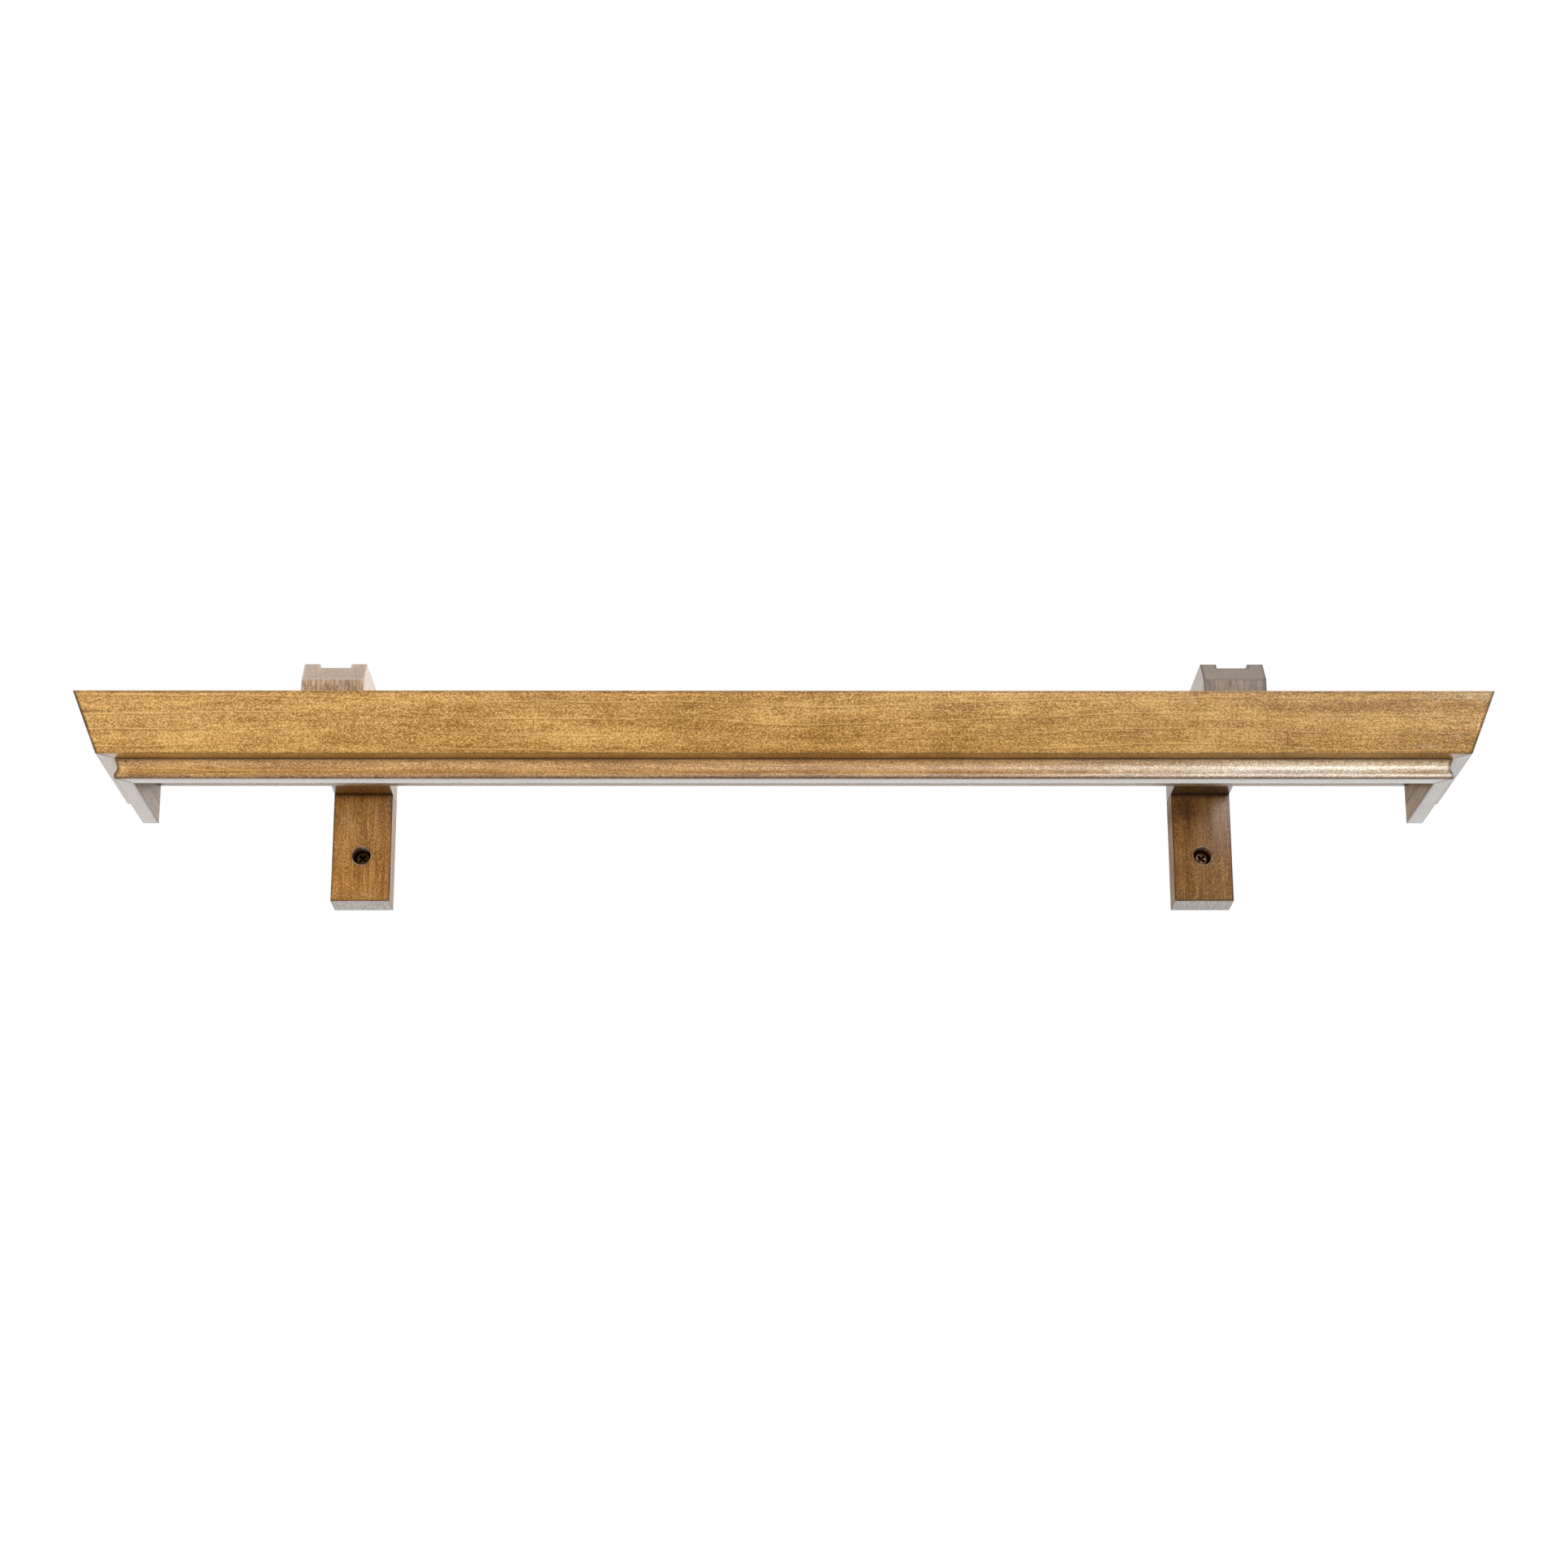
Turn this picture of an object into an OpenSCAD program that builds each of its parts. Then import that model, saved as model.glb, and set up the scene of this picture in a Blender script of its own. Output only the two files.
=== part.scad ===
// Wall shelf with a leaning crown frame, a bead rail below it, and two wooden L brackets.
// Millimetres. X runs across the wall, Y = 0 is the wall and +Y points into it, +Z is up.
// The origin is on the wall, midway between the two wall screws.

/* [Shelf] */
// Width across the crown's top edge
shelf_w = 914.4; // [700:0.1:1200]
// Depth of the shelf, from the crown's top edge to the open back
shelf_d = 127; // [110:0.5:150]
// Distance from the wall to the crown's top front edge
reach = 254; // [230:0.5:300]
// Thickness of the shelf board
board_t = 25.4; // [18:0.1:30]

/* [Crown] */
// Height of the crown boards
crown_h = 38.1; // [34:0.1:50]
// How far the crown's outer face leans out from bottom to top
crown_lean = 14; // [0:0.5:20]

/* [Bead] */
// Height of the bead rail
bead_h = 13.5; // [10:0.5:20]
// Thickness of the bead rail
bead_t = 11; // [9:0.5:16]
// Step from the crown's bottom edge back to the bead's face
bead_step = 10.7; // [4:0.1:14]
// Depth of the shallow cove worked along the bead's face
cove_d = 1.4; // [0.5:0.1:2.5]

/* [Brackets] */
// Distance between the centre lines of the two brackets
bracket_span = 594; // [300:1:640]
// Width of the bracket timber
arm_w = 41.3; // [36:0.1:50]
// Height of the arm
arm_h = 38.1; // [34:0.1:45]
// Step from the crown's top front edge back to the arm's front end
arm_setback = 46; // [38:0.5:50]
// Length of the bevel on the arm's front end, measured along the arm
bevel_l = 12.7; // [5:0.1:20]
// Height of the bevel on the arm's front end
bevel_h = 15; // [5:0.1:20]
// Width of the groove along the arm's top
groove_w = 20.6; // [12:0.1:24]
// Depth of the groove along the arm's top
groove_d = 3.7; // [2:0.1:6]
// Thickness of the leg against the wall
leg_t = 25.4; // [20:0.1:30]
// Length of the leg below the arm
leg_h = 78.6; // [70:0.1:120]
// Wall screw's distance below the arm
screw_drop = 45.6; // [43:0.1:60]

/* [Fixings] */
// Diameter of the counterbore for the wall screw
counterbore_d = 13.2; // [12:0.1:16]
// Depth of the counterbore for the wall screw
counterbore_l = 12; // [8:0.5:14]
// Diameter of the wall screw's thread
wall_screw_d = 5; // [4:0.5:6]
// Length of wall screw behind the leg
wall_screw_grip = 38; // [30:1:60]
// Diameter of the wood screws' shanks
wood_screw_d = 4.2; // [3:0.1:5]
// Diameter of the joint dowels
dowel_d = 8; // [6:0.5:9]
// Diameter of the brads and pins
brad_d = 1.2; // [1:0.1:2]

/* [Hidden] */

$fn = 48;
LEFT = -1;
RIGHT = 1;
cut = 1;               // how far a cutting shape runs past the face it cuts

// Heights
arm_z = screw_drop;                  // underside of the arms, which is the shelf's top
crown_z = arm_z - crown_h;
bead_z = crown_z - bead_h;
board_z = arm_z - board_t;
leg_z = arm_z - leg_h;
groove_z = arm_z + arm_h - groove_d;

// Depths
front_y = -reach;
back_y = front_y + shelf_d;
arm_y = front_y + arm_setback;
leg_mid_y = -leg_t / 2;

// The crown's and the bead's inner faces stand in one plane
bead_out = crown_lean + bead_step;   // crown's top edge to the bead's outer face
frame_in = bead_out + bead_t;        // crown's top edge to that inner plane
half_w = shelf_w / 2;

// Colours of the stained maple and of the steel
WOOD = [0.64, 0.46, 0.25];
WOOD_DARK = [0.52, 0.35, 0.19];
WOOD_PALE = [0.80, 0.68, 0.50];
STEEL = [0.45, 0.42, 0.38];

// Screws: head diameter, head height and recess
wood_head_d = 8.4;
wood_head_h = 3;
wood_head_land = 0.6;                // straight rim above the countersunk cone
wall_head_d = 11.4;
wall_head_h = 3.4;
wall_head_dome = 1.2;                // rounding at the rim of the head
wall_thread_h = 0.3;                 // thread's height over the smooth shank
point_ratio = 1.6;                   // length of a screw's point over its diameter
recess_w = 1.4;
recess_l = 5.6;
recess_depth = 1.8;
hole_play = 0.5;                     // clearance hole over the shank's diameter

// Fixing lengths and places
shelf_screw_l = 50.8;
joint_screw_l = 63.5;
shelf_screw_y = [front_y + 66, front_y + 106];
dowel_l = 40;
dowel_gap = 24;                      // between the two dowels of a joint
brad_l = 32;
brad_set = 1;                        // how deep a brad's head sits under the surface
bead_brad_l = 24;
pin_l = 10;
front_brads = 7;
crown_brad_end = 20;                 // the board's corner to the row's first brad
bead_brad_end = 40;
side_brad_y = [front_y + 68, front_y + 105];
pin_places = [[7, 11.6], [3, 3.5]];  // distance from the bead's outer corner, height in the bead
pin_head = 0.25;                     // head behind the bead's front face, just proud of the cove

// ---------------------------------------------------------------- sections

// Crown's section: u runs in from the top outer edge, v up from the crown's underside
module crown_section() {
    polygon([[crown_lean, 0], [frame_in, 0], [frame_in, crown_h], [0, crown_h]]);
}

// Bead's section: a square strip with a shallow cove along its face and a rounded lower nose
module bead_section() {
    fillet_top = 1.2;                // flat lip above the cove
    nose = 3;                        // flat nose below the cove
    cove_h = bead_h - fillet_top - nose;
    cove_r = (cove_h * cove_h / 4 + cove_d * cove_d) / (2 * cove_d);
    ease = 1;
    difference() {
        translate([bead_out, 0]) square([bead_t, bead_h]);
        translate([bead_out + cove_d - cove_r, nose + cove_h / 2]) circle(r = cove_r, $fn = 96);
        translate([bead_out, 0]) difference() {
            translate([-cut, -cut]) square(ease + cut);
            translate([ease, ease]) circle(r = ease, $fn = 32);
        }
    }
}

// ---------------------------------------------------------------- frame pieces

// A section run along the front, with u pointing back from the crown's top edge
module along_front(z) {
    translate([-half_w - cut, front_y, z])
        rotate([90, 0, 90]) linear_extrude(shelf_w + 2 * cut) children();
}

// The same section run along one side, with u pointing in from the side
module along_side(side, z) {
    mirror([side == RIGHT ? 1 : 0, 0, 0])
        translate([-half_w, back_y, z])
            rotate([90, 0, 0]) linear_extrude(shelf_d + cut) children();
}

// Plan of the front piece, cut at 45 degrees at both corners
module front_plan(z, h) {
    inner = half_w - frame_in;
    translate([0, front_y, z]) linear_extrude(h)
        polygon([[-half_w, 0], [half_w, 0], [inner, frame_in], [-inner, frame_in]]);
}

// Plan of a side piece, cut at 45 degrees at the front corner and square at the back
module side_plan(side, z, h) {
    inner = half_w - frame_in;
    translate([0, front_y, z]) linear_extrude(h)
        polygon([[side * half_w, 0], [side * half_w, shelf_d],
                 [side * inner, shelf_d], [side * inner, frame_in]]);
}

module front_crown() {
    color(WOOD) difference() {
        intersection() {
            along_front(crown_z) crown_section();
            front_plan(crown_z, crown_h);
        }
        crown_brad_set(brad_l + 2 * brad_set);
        bead_brad_set(bead_brad_l);
    }
}

module side_crown(side) {
    color(WOOD) difference() {
        intersection() {
            along_side(side, crown_z) crown_section();
            side_plan(side, crown_z, crown_h);
        }
        crown_brad_set(brad_l + 2 * brad_set);
        bead_brad_set(bead_brad_l);
    }
}

module front_bead() {
    color(WOOD) difference() {
        intersection() {
            along_front(bead_z) bead_section();
            front_plan(bead_z, bead_h);
        }
        bead_brad_set(bead_brad_l);
        mitre_pin_set();
    }
}

module side_bead(side) {
    color(WOOD) difference() {
        intersection() {
            along_side(side, bead_z) bead_section();
            side_plan(side, bead_z, bead_h);
        }
        bead_brad_set(bead_brad_l);
        mitre_pin_set();
    }
}

module shelf_board() {
    inner = half_w - frame_in;
    color(WOOD) difference() {
        translate([-inner, front_y + frame_in, board_z])
            cube([2 * inner, shelf_d - frame_in, board_t]);
        for (side = [LEFT, RIGHT]) shelf_screw_set(side);
        crown_brad_set(brad_l);
    }
}

// ---------------------------------------------------------------- brackets

module arm(side) {
    x = side * bracket_span / 2;
    length = reach - arm_setback;
    color(WOOD_DARK) difference() {
        translate([x - arm_w / 2, arm_y, arm_z]) rotate([90, 0, 90]) linear_extrude(arm_w)
            polygon([[0, 0], [length, 0], [length, arm_h], [bevel_l, arm_h], [0, arm_h - bevel_h]]);
        translate([x - groove_w / 2, arm_y - cut, groove_z])
            cube([groove_w, length + 2 * cut, groove_d + cut]);
        shelf_screw_set(side);
        joint_screw(side);
        joint_dowels(side);
    }
}

module leg(side) {
    x = side * bracket_span / 2;
    color(WOOD_DARK) difference() {
        translate([x - arm_w / 2, -leg_t, leg_z]) cube([arm_w, leg_t, leg_h]);
        translate([x, -leg_t - cut, 0]) rotate([-90, 0, 0])
            cylinder(d = counterbore_d, h = counterbore_l + cut);
        translate([x, -leg_t, 0]) rotate([-90, 0, 0])
            cylinder(d = wall_screw_d + hole_play, h = leg_t + cut);
        joint_screw(side);
        joint_dowels(side);
    }
}

// ---------------------------------------------------------------- fixings

// A countersunk wood screw pointing down, its head's top at the origin
module wood_screw(length) {
    point = wood_screw_d * point_ratio;
    translate([0, 0, -length]) rotate_extrude() polygon([
        [0, 0], [wood_screw_d / 2, point], [wood_screw_d / 2, length - wood_head_h],
        [wood_head_d / 2, length - wood_head_land], [wood_head_d / 2, length], [0, length]]);
}

module shelf_screw_set(side) {
    for (y = shelf_screw_y) translate([side * bracket_span / 2, y, groove_z])
        wood_screw(shelf_screw_l);
}

module shelf_screws(side) {
    color(STEEL) difference() {
        shelf_screw_set(side);
        for (y = shelf_screw_y) translate([side * bracket_span / 2, y, groove_z])
            cross_recess();
    }
}

module joint_screw(side) {
    translate([side * bracket_span / 2, leg_mid_y, groove_z]) wood_screw(joint_screw_l);
}

module joint_screw_recessed(side) {
    color(STEEL) difference() {
        joint_screw(side);
        translate([side * bracket_span / 2, leg_mid_y, groove_z]) cross_recess();
    }
}

// Two crossed slots, sunk from the origin down
module cross_recess() {
    for (turn = [0, 90]) rotate([0, 0, turn])
        translate([-recess_l / 2, -recess_w / 2, -recess_depth])
            cube([recess_l, recess_w, recess_depth + cut]);
}

module joint_dowels(side) {
    color(WOOD_PALE) for (end = [-1, 1])
        translate([side * bracket_span / 2 + end * dowel_gap / 2, leg_mid_y, arm_z - dowel_l / 2])
            cylinder(d = dowel_d, h = dowel_l);
}

// Pan-head screw: a smooth shank through the leg, then a thicker threaded stretch in the wall
module wall_screw(side) {
    shank_l = leg_t - counterbore_l;
    shank_r = wall_screw_d / 2 - wall_thread_h;
    length = shank_l + wall_screw_grip;
    point = wall_screw_d * point_ratio;
    color(STEEL) translate([side * bracket_span / 2, -leg_t + counterbore_l, 0]) rotate([-90, 0, 0])
        difference() {
            union() {
                rotate_extrude() polygon([
                    [0, 0], [shank_r, 0], [shank_r, shank_l], [wall_screw_d / 2, shank_l],
                    [wall_screw_d / 2, length - point], [0, length]]);
                rotate_extrude() polygon([
                    [0, 0], [wall_head_d / 2, 0], [wall_head_d / 2, -wall_head_h + wall_head_dome],
                    [wall_head_d / 2 - wall_head_dome, -wall_head_h], [0, -wall_head_h]]);
            }
            translate([0, 0, -wall_head_h]) rotate([180, 0, 45]) cross_recess();
        }
}

// A row of brads through the crown into the edge of the board
module crown_brad_set(length) {
    z = board_z + board_t / 2;
    face = crown_lean * (arm_z - z) / crown_h;   // crown's face behind its top edge at that height
    pitch = (shelf_w - 2 * frame_in - 2 * crown_brad_end) / (front_brads - 1);
    for (i = [0:front_brads - 1])
        translate([(i - (front_brads - 1) / 2) * pitch, front_y + face + brad_set, z])
            rotate([-90, 0, 0]) cylinder(d = brad_d, h = length, $fn = 24);
    for (side = [LEFT, RIGHT], y = side_brad_y)
        translate([side * (half_w - face - brad_set), y, z])
            rotate([0, -side * 90, 0]) cylinder(d = brad_d, h = length, $fn = 24);
}

// Brads up through the bead into the crown
module bead_brad_set(length) {
    mid = bead_out + bead_t / 2;
    pitch = (shelf_w - 2 * frame_in - 2 * bead_brad_end) / (front_brads - 1);
    for (i = [0:front_brads - 1])
        translate([(i - (front_brads - 1) / 2) * pitch, front_y + mid, bead_z + brad_set])
            cylinder(d = brad_d, h = length, $fn = 24);
    for (side = [LEFT, RIGHT], y = side_brad_y)
        translate([side * (half_w - mid), y, bead_z + brad_set])
            cylinder(d = brad_d, h = length, $fn = 24);
}

// Pins through the front bead's face that close its mitred corners
module mitre_pin_set() {
    for (side = [LEFT, RIGHT], place = pin_places)
        translate([side * (half_w - bead_out - place[0]), front_y + bead_out + pin_head, bead_z + place[1]])
            rotate([-90, 0, 0]) cylinder(d = brad_d, h = pin_l, $fn = 24);
}

module crown_brads() {
    color(STEEL) crown_brad_set(brad_l);
}

module bead_brads() {
    color(STEEL) bead_brad_set(bead_brad_l);
}

module mitre_pins() {
    color(STEEL) mitre_pin_set();
}

// ---------------------------------------------------------------- nodes

shelf_board();
front_crown();
side_crown(LEFT);  // left_crown
side_crown(RIGHT);  // right_crown
front_bead();
side_bead(LEFT);  // left_bead
side_bead(RIGHT);  // right_bead
arm(LEFT);  // left_arm
arm(RIGHT);  // right_arm
leg(LEFT);  // left_leg
leg(RIGHT);  // right_leg
joint_dowels(LEFT);  // left_joint_dowels
joint_dowels(RIGHT);  // right_joint_dowels
joint_screw_recessed(LEFT);  // left_joint_screw
joint_screw_recessed(RIGHT);  // right_joint_screw
shelf_screws(LEFT);  // left_shelf_screws
shelf_screws(RIGHT);  // right_shelf_screws
wall_screw(LEFT);  // left_wall_screw
wall_screw(RIGHT);  // right_wall_screw
crown_brads();
bead_brads();
mitre_pins();
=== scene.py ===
import math

import bmesh
import bpy
from mathutils import Matrix, Vector, noise


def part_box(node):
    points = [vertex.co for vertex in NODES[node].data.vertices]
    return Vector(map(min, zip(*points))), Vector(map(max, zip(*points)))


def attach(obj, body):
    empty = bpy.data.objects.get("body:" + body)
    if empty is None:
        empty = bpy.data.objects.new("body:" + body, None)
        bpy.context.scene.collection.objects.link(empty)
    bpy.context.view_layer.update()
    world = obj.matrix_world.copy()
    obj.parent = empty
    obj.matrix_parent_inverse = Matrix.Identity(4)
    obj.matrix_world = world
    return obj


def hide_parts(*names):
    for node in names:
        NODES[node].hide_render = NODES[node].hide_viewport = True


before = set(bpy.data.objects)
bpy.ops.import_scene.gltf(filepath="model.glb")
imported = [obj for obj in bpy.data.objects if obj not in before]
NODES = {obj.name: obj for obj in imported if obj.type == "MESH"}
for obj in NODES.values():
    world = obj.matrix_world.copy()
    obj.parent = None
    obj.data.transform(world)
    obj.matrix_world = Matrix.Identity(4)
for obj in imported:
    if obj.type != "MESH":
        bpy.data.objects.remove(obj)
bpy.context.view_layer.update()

# ------------------------------------------------------------------ sizes, in metres, from the frame

MM = 0.001
CROWN_LO, CROWN_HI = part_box("front_crown")
SIDE_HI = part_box("right_crown")[1]
BEAD_LO, BEAD_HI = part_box("front_bead")
BOARD_LO, BOARD_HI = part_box("shelf_board")
LEG_LO, LEG_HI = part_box("right_leg")
SCREW_LO, SCREW_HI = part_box("right_wall_screw")

HALF_W = CROWN_HI.x                       # half the width at the crown's top edge
FRONT_Y = CROWN_LO.y                      # crown's top front edge
BACK_Y = SIDE_HI.y                        # open back of the shelf
FRAME_IN = CROWN_HI.y - CROWN_LO.y        # crown's top edge to the frame's inner plane
CROWN_H = CROWN_HI.z - CROWN_LO.z
BEAD_H = BEAD_HI.z - BEAD_LO.z
BEAD_T = BEAD_HI.y - BEAD_LO.y
BEAD_OUT = BEAD_LO.y - FRONT_Y            # crown's top edge to the bead's face
CROWN_LEAN = 14 * MM                      # crown's bottom edge stands back by this from its top edge
BORE_R = 6.6 * MM                         # counterbore's radius
BRACKET_X = (LEG_LO.x + LEG_HI.x) / 2
SIDES = {"left": -1, "right": 1}

# ------------------------------------------------------------------ camera

FRAME_PX = 1932
FOCAL_PX = 3984.5                         # focal length, in widths of one pixel of the full frame
SENSOR = 36.0                             # sensor's width in millimetres
CAMERA_AT = Vector((-0.0183, -2.2224, -0.6244))
CAMERA_PITCH = math.radians(17.136)
CAMERA_YAW = math.radians(0.507)
CAMERA_ROLL = math.radians(-0.136)


def add_camera():
    """A camera at the photo's viewpoint."""
    data = bpy.data.cameras.new("camera")
    data.sensor_width = SENSOR
    data.lens = FOCAL_PX / FRAME_PX * SENSOR
    data.clip_end = 120
    cam = bpy.data.objects.new("camera", data)
    turn = (Matrix.Rotation(-CAMERA_YAW, 4, "Z")
            @ Matrix.Rotation(math.pi / 2 + CAMERA_PITCH, 4, "X")
            @ Matrix.Rotation(CAMERA_ROLL, 4, "Z"))
    cam.matrix_world = Matrix.Translation(CAMERA_AT) @ turn
    bpy.context.scene.collection.objects.link(cam)
    bpy.context.scene.camera = cam


# ------------------------------------------------------------------ studio

# The ground's light fades into the sky's between these heights on a sphere of radius 1
GROUND_UP_TO = -0.35
SKY_DOWN_TO = 0.30


def softbox(name, at, aim, size, radiance, diffuse=True, glossy=True):
    """A rectangular area light whose face has about that radiance."""
    data = bpy.data.lights.new(name, "AREA")
    data.shape = "RECTANGLE"
    data.size, data.size_y = size
    data.energy = radiance * math.pi * size[0] * size[1]
    light = bpy.data.objects.new(name, data)
    light.location = at
    light.rotation_euler = (Vector(aim) - Vector(at)).to_track_quat("-Z", "Y").to_euler()
    light.visible_camera = False
    light.visible_diffuse = diffuse
    light.visible_glossy = glossy
    bpy.context.scene.collection.objects.link(light)


def add_world(sky, ground, reflected):
    """White to the camera. The sky that lights the object dims towards the ground; its reflection is even."""
    world = bpy.data.worlds.new("studio")
    bpy.context.scene.world = world
    world.use_nodes = True
    tree = world.node_tree
    tree.nodes.clear()

    def node(kind, **inputs):
        made = tree.nodes.new(kind)
        for key, value in inputs.items():
            made.inputs[key.replace("_", " ")].default_value = value
        return made

    place = node("ShaderNodeTexCoord")
    split = node("ShaderNodeSeparateXYZ")
    shade = node("ShaderNodeMapRange", From_Min=GROUND_UP_TO, From_Max=SKY_DOWN_TO,
                 To_Min=ground, To_Max=sky)
    level = node("ShaderNodeMapRange", To_Max=reflected)
    lit = node("ShaderNodeBackground", Color=(1, 1, 1, 1))
    seen = node("ShaderNodeBackground", Color=(1, 1, 1, 1))
    path = node("ShaderNodeLightPath")
    mix = node("ShaderNodeMixShader")
    out = node("ShaderNodeOutputWorld")
    tree.links.new(place.outputs["Generated"], split.inputs[0])
    tree.links.new(split.outputs["Z"], shade.inputs["Value"])
    tree.links.new(shade.outputs[0], level.inputs["To Min"])
    tree.links.new(path.outputs["Is Glossy Ray"], level.inputs["Value"])
    tree.links.new(level.outputs[0], lit.inputs["Strength"])
    tree.links.new(path.outputs["Is Camera Ray"], mix.inputs["Fac"])
    tree.links.new(lit.outputs[0], mix.inputs[1])
    tree.links.new(seen.outputs[0], mix.inputs[2])
    tree.links.new(mix.outputs[0], out.inputs["Surface"])


def add_floor(level, half):
    """A pale floor far below, which the object neither reflects nor is lit by."""
    bm = bmesh.new()
    bmesh.ops.create_grid(bm, x_segments=1, y_segments=1, size=half)
    floor = object_from(bm, "floor")
    floor.location.z = level
    floor.visible_diffuse = False
    floor.visible_glossy = False
    mat = bpy.data.materials.new("pale_floor")
    mat.use_nodes = True
    shader = mat.node_tree.nodes["Principled BSDF"]
    shader.inputs["Base Color"].default_value = (0.86, 0.86, 0.85, 1)
    shader.inputs["Roughness"].default_value = 0.8
    shader.inputs["Emission Color"].default_value = (1, 1, 1, 1)
    shader.inputs["Emission Strength"].default_value = 0.5
    mat.cycles.emission_sampling = "NONE"
    floor.data.materials.append(mat)


# ------------------------------------------------------------------ shader graphs

class Graph:
    """Builds one material's node tree with short calls."""

    def __init__(self, name):
        self.mat = bpy.data.materials.new(name)
        self.mat.use_nodes = True
        self.tree = self.mat.node_tree
        self.tree.nodes.clear()

    def node(self, kind, inputs=None, **props):
        """A new node with its properties set, and a value or another node's output in each input."""
        made = self.tree.nodes.new(kind)
        for key, value in props.items():
            setattr(made, key, value)
        for key, value in (inputs or {}).items():
            socket = made.inputs[key]
            if isinstance(value, bpy.types.NodeSocket):
                self.tree.links.new(value, socket)
            else:
                socket.default_value = value
        return made

    def math(self, op, a, b=0.0, c=0.0):
        """One step of arithmetic on numbers or outputs."""
        return self.node("ShaderNodeMath", {0: a, 1: b, 2: c}, operation=op).outputs[0]

    def noise(self, vector, detail=3.0, rough=0.5, scale=1.0, distort=0.0):
        """Cloudy values from 0 to 1 that mostly keep near 0.5."""
        return self.node("ShaderNodeTexNoise", {
            "Vector": vector, "Scale": scale, "Detail": detail, "Roughness": rough,
            "Distortion": distort}).outputs["Fac"]

    def stretch(self, vector, along, across, shift=(0, 0, 0)):
        """Grain coordinates (along, across, across) times their scales."""
        return self.node("ShaderNodeMapping", {
            "Vector": vector, "Scale": (along, across, across), "Location": shift}).outputs[0]

    def ramp(self, fac, stops):
        """Colour or grey level by fac. stops: places from 0 to 1, each with an (r, g, b) or one level."""
        made = self.node("ShaderNodeValToRGB", {"Fac": fac})
        elements = made.color_ramp.elements
        while len(elements) < len(stops):
            elements.new(0.5)
        for element, (at, colour) in zip(elements, stops):
            element.position = at
            element.color = (*colour, 1) if isinstance(colour, tuple) else (colour, colour, colour, 1)
        return made.outputs["Color"]

    def span(self, value, lo, hi, out_lo=0.0, out_hi=1.0):
        """Maps lo..hi to out_lo..out_hi and stops at both ends."""
        return self.node("ShaderNodeMapRange", {
            "Value": value, "From Min": lo, "From Max": hi, "To Min": out_lo, "To Max": out_hi}).outputs[0]

    def mix(self, fac, a, b, blend="MIX"):
        """Colour a, going over to b as fac goes from 0 to 1."""
        made = self.node("ShaderNodeMix", data_type="RGBA", blend_type=blend)
        for key, value in (("Factor", fac), ("A", a), ("B", b)):
            socket = next(s for s in made.inputs if s.name == key and s.enabled)
            if isinstance(value, bpy.types.NodeSocket):
                self.tree.links.new(value, socket)
            elif key == "Factor":
                socket.default_value = value
            else:
                socket.default_value = (*value, 1)
        return next(s for s in made.outputs if s.enabled)

    def finish(self, **inputs):
        """Sends a Principled shader with these inputs to the output, and gives the material."""
        shader = self.node("ShaderNodeBsdfPrincipled", inputs)
        self.node("ShaderNodeOutputMaterial", {"Surface": shader.outputs[0]})
        return self.mat


# ------------------------------------------------------------------ wood and metal

GRAIN_ORDER = {"X": "XYZ", "Y": "YXZ", "Z": "ZXY"}   # along the grain first, then the two across it
RING_PITCH = 9.8 * MM                     # spacing of the growth lines
USUAL_FLECK = 1.6                         # strength of pores for which the tones were set
ARRIS_REACH = 3 * MM                      # radius in which an arris is looked for
SHADE_REACH = 6 * MM                    # distance in which a facing surface paints shade into a corner
RIM_W = 0.7 * MM                          # width of the torn ring round the counterbore
DUST = (0.50, 0.48, 0.46)
# Grey of the painted sheen on faces that look down
UNDERSIDE_SHEEN = (0.30, 0.25, 0.20)
BARE_WOOD = (0.62, 0.46, 0.30)


def grain_space(g, grain, shift):
    """Object coordinates in metres with the grain's direction first, moved by shift."""
    place = g.node("ShaderNodeTexCoord").outputs["Object"]
    split = g.node("ShaderNodeSeparateXYZ", {0: place}).outputs
    axes = [split["XYZ".index(letter)] for letter in GRAIN_ORDER[grain]]
    joined = g.node("ShaderNodeCombineXYZ", {0: axes[0], 1: axes[1], 2: axes[2]}).outputs[0]
    return g.node("ShaderNodeVectorMath", {0: joined, 1: shift}, operation="ADD").outputs[0]


def end_grain_mask(g, grain):
    """1 where the surface faces along the grain, else 0."""
    normal = g.node("ShaderNodeNewGeometry").outputs["True Normal"]
    along = g.node("ShaderNodeSeparateXYZ", {0: normal}).outputs["XYZ".index(grain)]
    return g.span(g.math("ABSOLUTE", along), 0.70, 0.95)


def edge_mask(g, reach):
    """1 beside an arris or a corner of the piece, 0 where the surface within reach is flat."""
    soft = g.node("ShaderNodeBevel", {"Radius": reach}, samples=6).outputs[0]
    hard = g.node("ShaderNodeNewGeometry").outputs["Normal"]
    turn = g.node("ShaderNodeVectorMath", {0: soft, 1: hard}, operation="DOT_PRODUCT").outputs["Value"]
    return g.span(turn, 0.985, 0.90)


def corner_shade_mask(g, reach):
    """Mask for painted shade: 1 deep in a corner between pieces, 0 in the open."""
    shade = g.node("ShaderNodeAmbientOcclusion", {"Distance": reach}, samples=8).outputs["AO"]
    return g.span(shade, 0.93, 0.52)


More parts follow.
